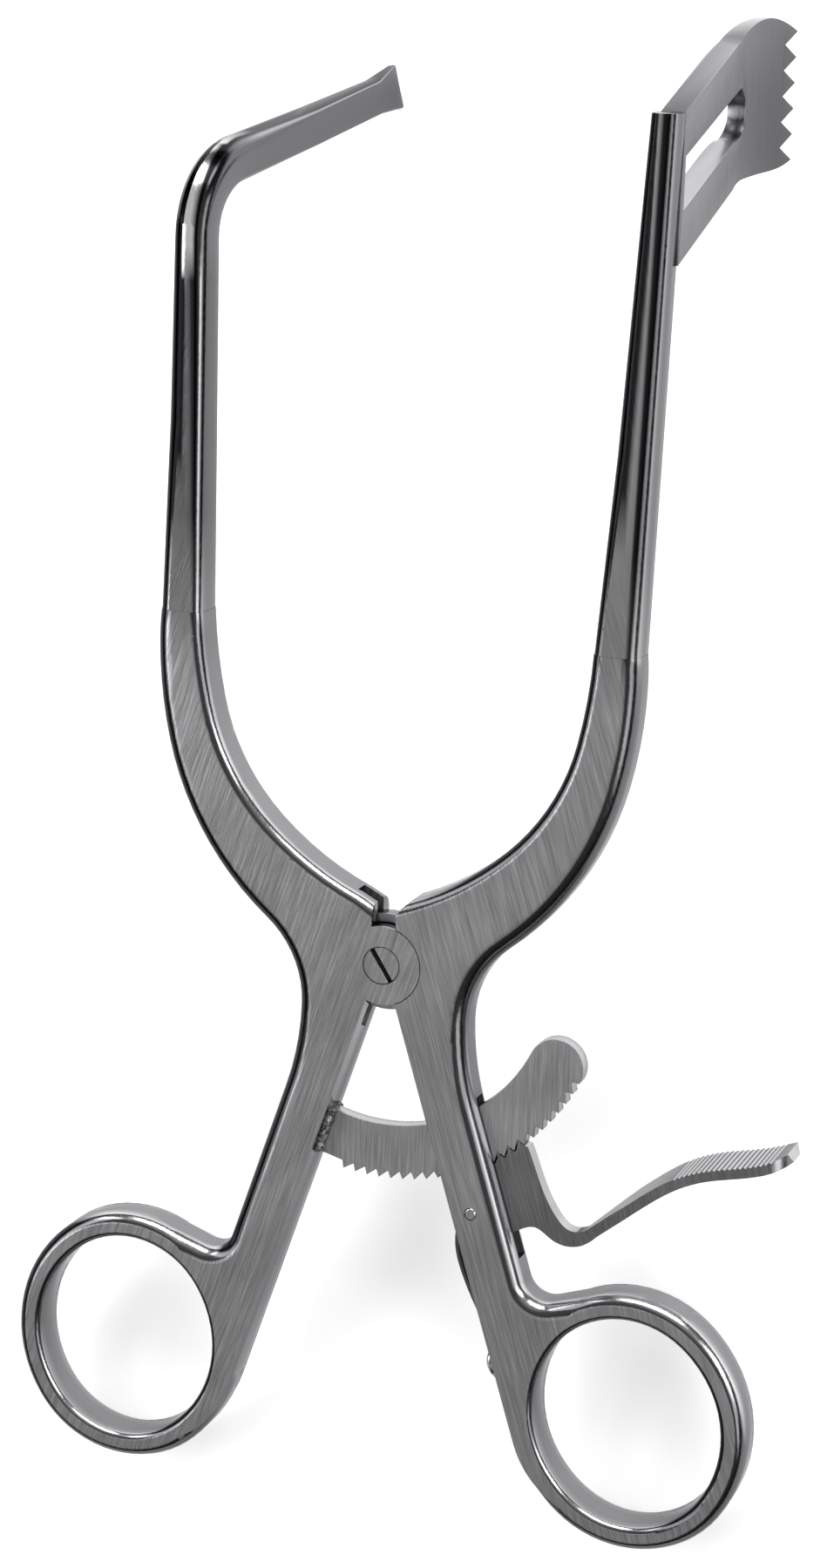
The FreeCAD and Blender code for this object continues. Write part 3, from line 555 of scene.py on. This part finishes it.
# %% Materials of the small pieces
LEVER_GRAIN = 0.3
PLATE_WALLS = [(0.1, "8A8A8C"), (0.5, "9A9A9C"), (0.9, "C4C4C6")]
RIB_BANDS = [(0.15, "8E8E90"), (0.30, "6A6A6C"), (0.39, "464648"), (0.45, "C8C8CA"),
             (0.70, "D2D2D4")]
BLADE_WALLS = [(0.1, "6A6A6C"), (0.5, "848486"), (0.66, "9A9A9C"), (0.9, "EAEAEC")]
TOOTH_WALLS = [(0.1, "606062"), (0.5, "5C5C5E"), (0.66, "707072"), (0.9, "DCDCDE")]
rack_steel = forged_steel("sheared_rack_steel", 0.0, round_hex="6A6A6C",
                          line_hex="2C2C2E", flat_rough=0.40, round_rough=0.25,
                          walls=PLATE_WALLS)
lever_steel = forged_steel("milled_lever_steel", LEVER_GRAIN, flat_hex="8E8E90",
                           round_hex="7A7A7C", line_hex="363638", flat_rough=0.38,
                           round_rough=0.26, flat_from=0.86, walls=PLATE_WALLS,
                           ribs=RIB_BANDS)
spring_steel = forged_steel("spring_steel", HANDLE_LEAN, flat_hex="77777A",
                            line_hex="6A6A6C", flat_rough=0.30, round_rough=0.22)
blade_steel = forged_steel("satin_blade_steel", 0.0, round_hex="66666A", line_hex="4A4A4C",
                           flat_rough=0.40, round_rough=0.33, walls=BLADE_WALLS,
                           deep_walls=TOOTH_WALLS)
print("steels:", [m.name for m in bpy.data.materials if "steel" in m.name])

# %% [markdown]
# ## Weld bead and painted slot shade
# The rack is welded by hand, and nobody dresses the bead.  It cools dark, rough and
# spattered with bright specks.  The screw slot is painted nearly black, as shade in its recess.

# %% Weld and slot materials
LUMP_SIZE = 0.45 * MM
LUMP_HEIGHT = 0.15 * MM
SHADE_SPECK_SIZE = 0.2 * MM


def weld_metal():
    """Bare weld: dark steel with bright specks, lumpy all over."""
    made, tree = new_material("dark_weld_bead")
    place = add(tree, "TexCoord").outputs["Object"]
    lumps = add(tree, "TexNoise", {"Vector": place}, Scale=1 / LUMP_SIZE, Detail=4.0)
    tone = add(tree, "ValToRGB", {"Fac": lumps.outputs["Fac"]},
               [(0.35, "262425"), (0.72, "B9B9BC")])
    bump = add(tree, "Bump", {"Height": lumps.outputs["Fac"]}, Strength=1.0,
               Distance=LUMP_HEIGHT)
    metal = add(tree, "BsdfPrincipled", {"Base Color": tone.outputs[0],
                                         "Normal": bump.outputs[0]},
                Metallic=1.0, Roughness=0.45)
    add(tree, "OutputMaterial", {"Surface": metal.outputs[0]})
    return made


def painted_slot_shade():
    """Painted shade for the slot: matt and nearly black, with small specks."""
    made, tree = new_material("painted_shade_in_slot")
    place = add(tree, "TexCoord").outputs["Object"]
    shade_specks = add(tree, "TexNoise", {"Vector": place}, Scale=1 / SHADE_SPECK_SIZE)
    tone = add(tree, "ValToRGB", {"Fac": shade_specks.outputs["Fac"]},
               [(0.0, "070707"), (1.0, "1A1A1A")])
    dull = add(tree, "BsdfPrincipled", {"Base Color": tone.outputs[0]}, Roughness=0.8)
    add(tree, "OutputMaterial", {"Surface": dull.outputs[0]})
    return made


weld_steel = weld_metal()
# The slot's near-black colour is painted shade for its recess.
slot_shade = painted_slot_shade()
print("weld and paste are ready")

# %% [markdown]
# ## Cleaning a solid's mesh
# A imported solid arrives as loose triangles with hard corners.  A copy is merged, its flat
# areas are joined into single faces, and a narrow bevel breaks each sharp corner, as a
# maker's file does.

# %% Clean a copy of a solid
JOIN = 0.002 * MM
SAME_PLANE = math.radians(0.6)
SHARP_FROM = math.radians(38)


def only(piece):
    """Deselects everything and makes one piece active."""
    bpy.ops.object.select_all(action="DESELECT")
    piece.hide_viewport = False
    piece.select_set(True)
    bpy.context.view_layer.objects.active = piece


def cleaned_copy(node, name):
    """A copy of a solid with its corners merged and its flat areas joined."""
    piece = bpy.data.objects.new(name, nodes[node].data.copy())
    bpy.context.scene.collection.objects.link(piece)
    only(piece)
    bpy.ops.object.mode_set(mode="EDIT")
    bpy.ops.mesh.select_all(action="SELECT")
    bpy.ops.mesh.remove_doubles(threshold=JOIN)
    bpy.ops.mesh.dissolve_limited(angle_limit=SAME_PLANE)
    bpy.ops.object.mode_set(mode="OBJECT")
    return piece


def break_corners(piece, width):
    """Bevels every sharp corner by a width in millimetres."""
    bevel = piece.modifiers.new("broken_corner", "BEVEL")
    bevel.width = width * MM
    bevel.segments = 2
    bevel.limit_method = "ANGLE"
    bevel.angle_limit = SHARP_FROM
    bevel.use_clamp_overlap = True
    bpy.ops.object.modifier_apply(modifier=bevel.name)


print("solids to clean:", len(nodes))

# %% [markdown]
# ## Flat fronts and round arms
# Steel shows every fault in its normals.  The ground fronts and backs of the handles are
# marked as strong, so weighted normals keep them flat.  Every other face shares its
# normals with its neighbours, so the buffed sides and the arms look gently round.  Where
# an arm leaves its handle the two ways meet.  There the normals of the front are turned
# straight to the front, so that the round look begins with only a faint line.

# %% Steer the normals
FLAT_ENDS = 42.0 * MM
FOOT_REACH = 0.3 * MM
SQUARE_TO_AXIS = 0.9995
MORE_FRONT_THAN_SIDE = 0.5


def height_in_drawing(place):
    """How far above the hinge a place lies, along the instrument."""
    return (drawing.inverted() @ place).y


def keep_fronts_flat(piece):
    """Lets the fronts and backs rule the normals at their rims, up to the arms."""
    only(piece)
    bpy.ops.object.mode_set(mode="EDIT")
    bpy.ops.mesh.select_mode(type="FACE")
    bpy.ops.mesh.select_all(action="DESELECT")
    shell = bmesh.from_edit_mesh(piece.data)
    for face in shell.faces:
        is_front = abs(face.normal.dot(hinge_axis)) > SQUARE_TO_AXIS
        below_arms = height_in_drawing(face.calc_center_median()) < FLAT_ENDS
        face.select = is_front and below_arms
    bmesh.update_edit_mesh(piece.data)
    bpy.ops.mesh.mod_weighted_strength(set=True, face_strength="STRONG")
    bpy.ops.mesh.select_all(action="INVERT")
    bpy.ops.mesh.mod_weighted_strength(set=True, face_strength="MEDIUM")
    bpy.ops.object.mode_set(mode="OBJECT")
    weigh = piece.modifiers.new("flat_stays_flat", "WEIGHTED_NORMAL")
    weigh.mode = "CORNER_ANGLE"
    weigh.use_face_influence = True
    weigh.keep_sharp = True
    bpy.ops.object.modifier_apply(modifier=weigh.name)


def is_arm_foot(corner):
    """Whether a corner of the mesh lies where an arm leaves its handle."""
    return abs(height_in_drawing(corner.co) - FLAT_ENDS) < FOOT_REACH


def flatten_arm_foot(piece):
    """Turns the normals where an arm leaves its handle to the front, as on the handle."""
    mesh = piece.data
    foot = set()
    for face in mesh.polygons:
        if abs(face.normal.dot(hinge_axis)) > SQUARE_TO_AXIS:
            foot.update(v for v in face.vertices if is_arm_foot(mesh.vertices[v]))
    normals = [Vector(corner.vector) for corner in mesh.corner_normals]
    for face in mesh.polygons:
        lean = face.normal.dot(hinge_axis)
        if abs(lean) > MORE_FRONT_THAN_SIDE:
            for corner in face.loop_indices:
                if mesh.loops[corner].vertex_index in foot:
                    normals[corner] = hinge_axis * math.copysign(1.0, lean)
    mesh.normals_split_custom_set(normals)
    return len(foot)


print("fronts are kept flat up to %.0f mm above the hinge" % (FLAT_ENDS / MM))

# %% [markdown]
# ## Dressing a solid
# One helper does all of it: it hides the solid that the new piece stands in for, gives the
# piece its steel and hangs it on the body that carries it when a joint moves.

# %% The helper that dresses a solid
USUAL_CORNER = 0.12
USUAL_SMOOTH = 32


def dress(node, name, steel, body, corner=USUAL_CORNER, smooth=USUAL_SMOOTH):
    """A finished copy of a solid.  The corner is in millimetres, and faces that meet at
    less than the smooth angle, in degrees, share their normals."""
    piece = cleaned_copy(node, name)
    piece.data.materials.clear()
    piece.data.materials.append(steel)
    if corner:
        break_corners(piece, corner)
    bpy.ops.object.shade_smooth_by_angle(angle=math.radians(smooth))
    keep_fronts_flat(piece)
    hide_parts(node)
    if body:
        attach(piece, body)
    print(name, "has", len(piece.data.polygons), "faces")
    return piece


print("corners are broken by", USUAL_CORNER, "mm unless a piece says otherwise")

# %% [markdown]
# ## The two halves
# Each half is one forging from finger ring to arm.  Nothing is added to it: its beauty is
# in its long roundings, so it gets the finest mesh care and the material for both finishes.

# %% Dress the halves
left_half = dress("left_branch", "left_half_forging", left_steel, "left_half")
right_half = dress("right_branch", "right_half_forging", right_steel, "right_half")
print("arm foot corners turned:", flatten_arm_foot(left_half), flatten_arm_foot(right_half))

# %% [markdown]
# ## Screws, rack, lever, blade and weld
# The screw is turned, so its slot is the only mark on it.  The rack and the lever are cut
# from plate and their teeth and ribs keep crisp edges, so their bevels are narrow.  The
# blade is handled more and has softer corners.  The weld bead stays as it froze.

# %% Dress the small steel pieces
screw = dress("pivot_screw", "slotted_screw", screw_steel, "left_half",
              corner=0.06)
dress("ratchet_bar", "curved_rack", rack_steel, "left_half", corner=0.08)
dress("release_lever", "lever_and_pawl", lever_steel, "release_lever",
      corner=0.03, smooth=14)
dress("lever_pin", "lever_rivet", screw_steel, "right_half", corner=0.05)
dress("spring_screw", "spring_bolt", screw_steel, "right_half",
      corner=0.08)
dress("toothed_blade", "windowed_blade", blade_steel, "right_half",
      corner=0.15)
dress("ratchet_weld", "weld_bead", weld_steel, "left_half", corner=0)

# %% [markdown]
# ## The leaf spring
# Its foot is screwed to the handle and its free end bears on the tail of the lever.  Here
# it is dressed like the other pieces but hangs on no body, so it stays where it lies.


leaf = dress("leaf_spring", "bowed_leaf", spring_steel, None, corner=0.05)
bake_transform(leaf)

# %% [markdown]
# ## Black in the screw slot
# The floor and the walls of the slot are picked by where they lie, below the flat of the
# head, and get the painted slot shade as a second material.

# %% Paint the slot
SLOT_FLOOR = -0.65 * MM
SLOT_RIM = -0.08 * MM
HEAD_RADIUS = 2.33 * MM


def paint(piece, steel, inside):
    """Gives a second material to the faces whose centre passes a test."""
    piece.data.materials.append(steel)
    index = len(piece.data.materials) - 1
    only(piece)
    bpy.ops.object.mode_set(mode="EDIT")
    bpy.ops.mesh.select_mode(type="FACE")
    bpy.ops.mesh.select_all(action="DESELECT")
    shell = bmesh.from_edit_mesh(piece.data)
    for face in shell.faces:
        face.select = inside(face.calc_center_median())
    bmesh.update_edit_mesh(piece.data)
    piece.active_material_index = index
    bpy.ops.object.material_slot_assign()
    bpy.ops.object.mode_set(mode="OBJECT")
    return sum(p.material_index == index for p in piece.data.polygons)


def in_driver_slot(centre):
    """Whether a face lies inside the head of the screw, below its front."""
    local = drawing.inverted() @ centre
    return SLOT_FLOOR < local.z < SLOT_RIM and local.xy.length < HEAD_RADIUS


print("slot faces painted:", paint(screw, slot_shade, in_driver_slot))

# %% [markdown]
# ## Floor
# A pale paper carries the shadow.  It glows a little for the eye and for what mirrors it,
# so that it reads as white, but the glow throws no light on matt things around it.

# %% Floor
FLOOR_WIDTH = 8.0
bpy.ops.object.select_all(action="DESELECT")
bpy.ops.mesh.primitive_plane_add(size=FLOOR_WIDTH, location=(0, 0, 0))
floor = bpy.context.active_object
floor.name = "pale_floor"
floor_paper, tree = new_material("pale_paper")
rays = add(tree, "LightPath")
seen = add(tree, "Math", {0: rays.outputs["Is Camera Ray"],
                          1: rays.outputs["Is Glossy Ray"]}, operation="MAXIMUM")
seen = add(tree, "Math", {0: seen.outputs[0], 1: rays.outputs["Is Transmission Ray"]},
           operation="MAXIMUM")
matt = add(tree, "BsdfDiffuse", Color=srgb("D8D8D8"))
glow = add(tree, "Emission", {"Strength": seen.outputs[0]}, Color=srgb("BEBEBE"))
total = add(tree, "AddShader", {0: matt.outputs[0], 1: glow.outputs[0]})
add(tree, "OutputMaterial", {"Surface": total.outputs[0]})
floor.data.materials.append(floor_paper)
print("floor is", FLOOR_WIDTH, "m wide")

# %% [markdown]
# ## Sky and lamps
# Polished steel shows what is around it, so the room is kept quiet: grey overhead and dark
# at the horizon.  Three long soft boxes, to the left, to the right and beyond the arms,
# light the steel evenly and throw a soft shadow.

# %% Sky
world = bpy.data.worlds.new("grey_room")
bpy.context.scene.world = world
world.use_nodes = True
tree = world.node_tree
tree.nodes.clear()
way = add(tree, "TexCoord")
height = add(tree, "SeparateXYZ", {"Vector": way.outputs["Generated"]})
shade = add(tree, "ValToRGB", {"Fac": height.outputs["Z"]},
            [(0.05, "101010"), (0.55, "6E6E6E"), (0.95, "B4B4B4")])
room = add(tree, "Background", {"Color": shade.outputs[0]}, Strength=1.0)
add(tree, "OutputWorld", {"Surface": room.outputs[0]})
print("sky:", world.name)

# %% Lamps


def soft_box(name, place, width, height, power):
    """A rectangular lamp that shines from a place toward the instrument."""
    light = bpy.data.lights.new(name, "AREA")
    light.shape = "RECTANGLE"
    light.size, light.size_y = width, height
    light.energy = power
    lamp = bpy.data.objects.new(name, light)
    bpy.context.scene.collection.objects.link(lamp)
    lamp.location = place
    lamp.rotation_euler = (-Vector(place)).to_track_quat("-Z", "Y").to_euler()


soft_box("left_box", (-0.80, 0.15, 0.60), width=1.1, height=0.40, power=9.0)
soft_box("right_box", (0.85, -0.10, 0.60), width=1.1, height=0.40, power=7.0)
soft_box("top_box", (0.10, 1.00, 0.70), width=1.1, height=0.45, power=9.0)
print("lamps:", len(bpy.data.lights))

# %% [markdown]
# ## Colours as they are
# The plain view shows each tone as it was chosen.

# %% Colour handling
bpy.context.scene.view_settings.view_transform = "Standard"
print("view:", bpy.context.scene.view_settings.view_transform)
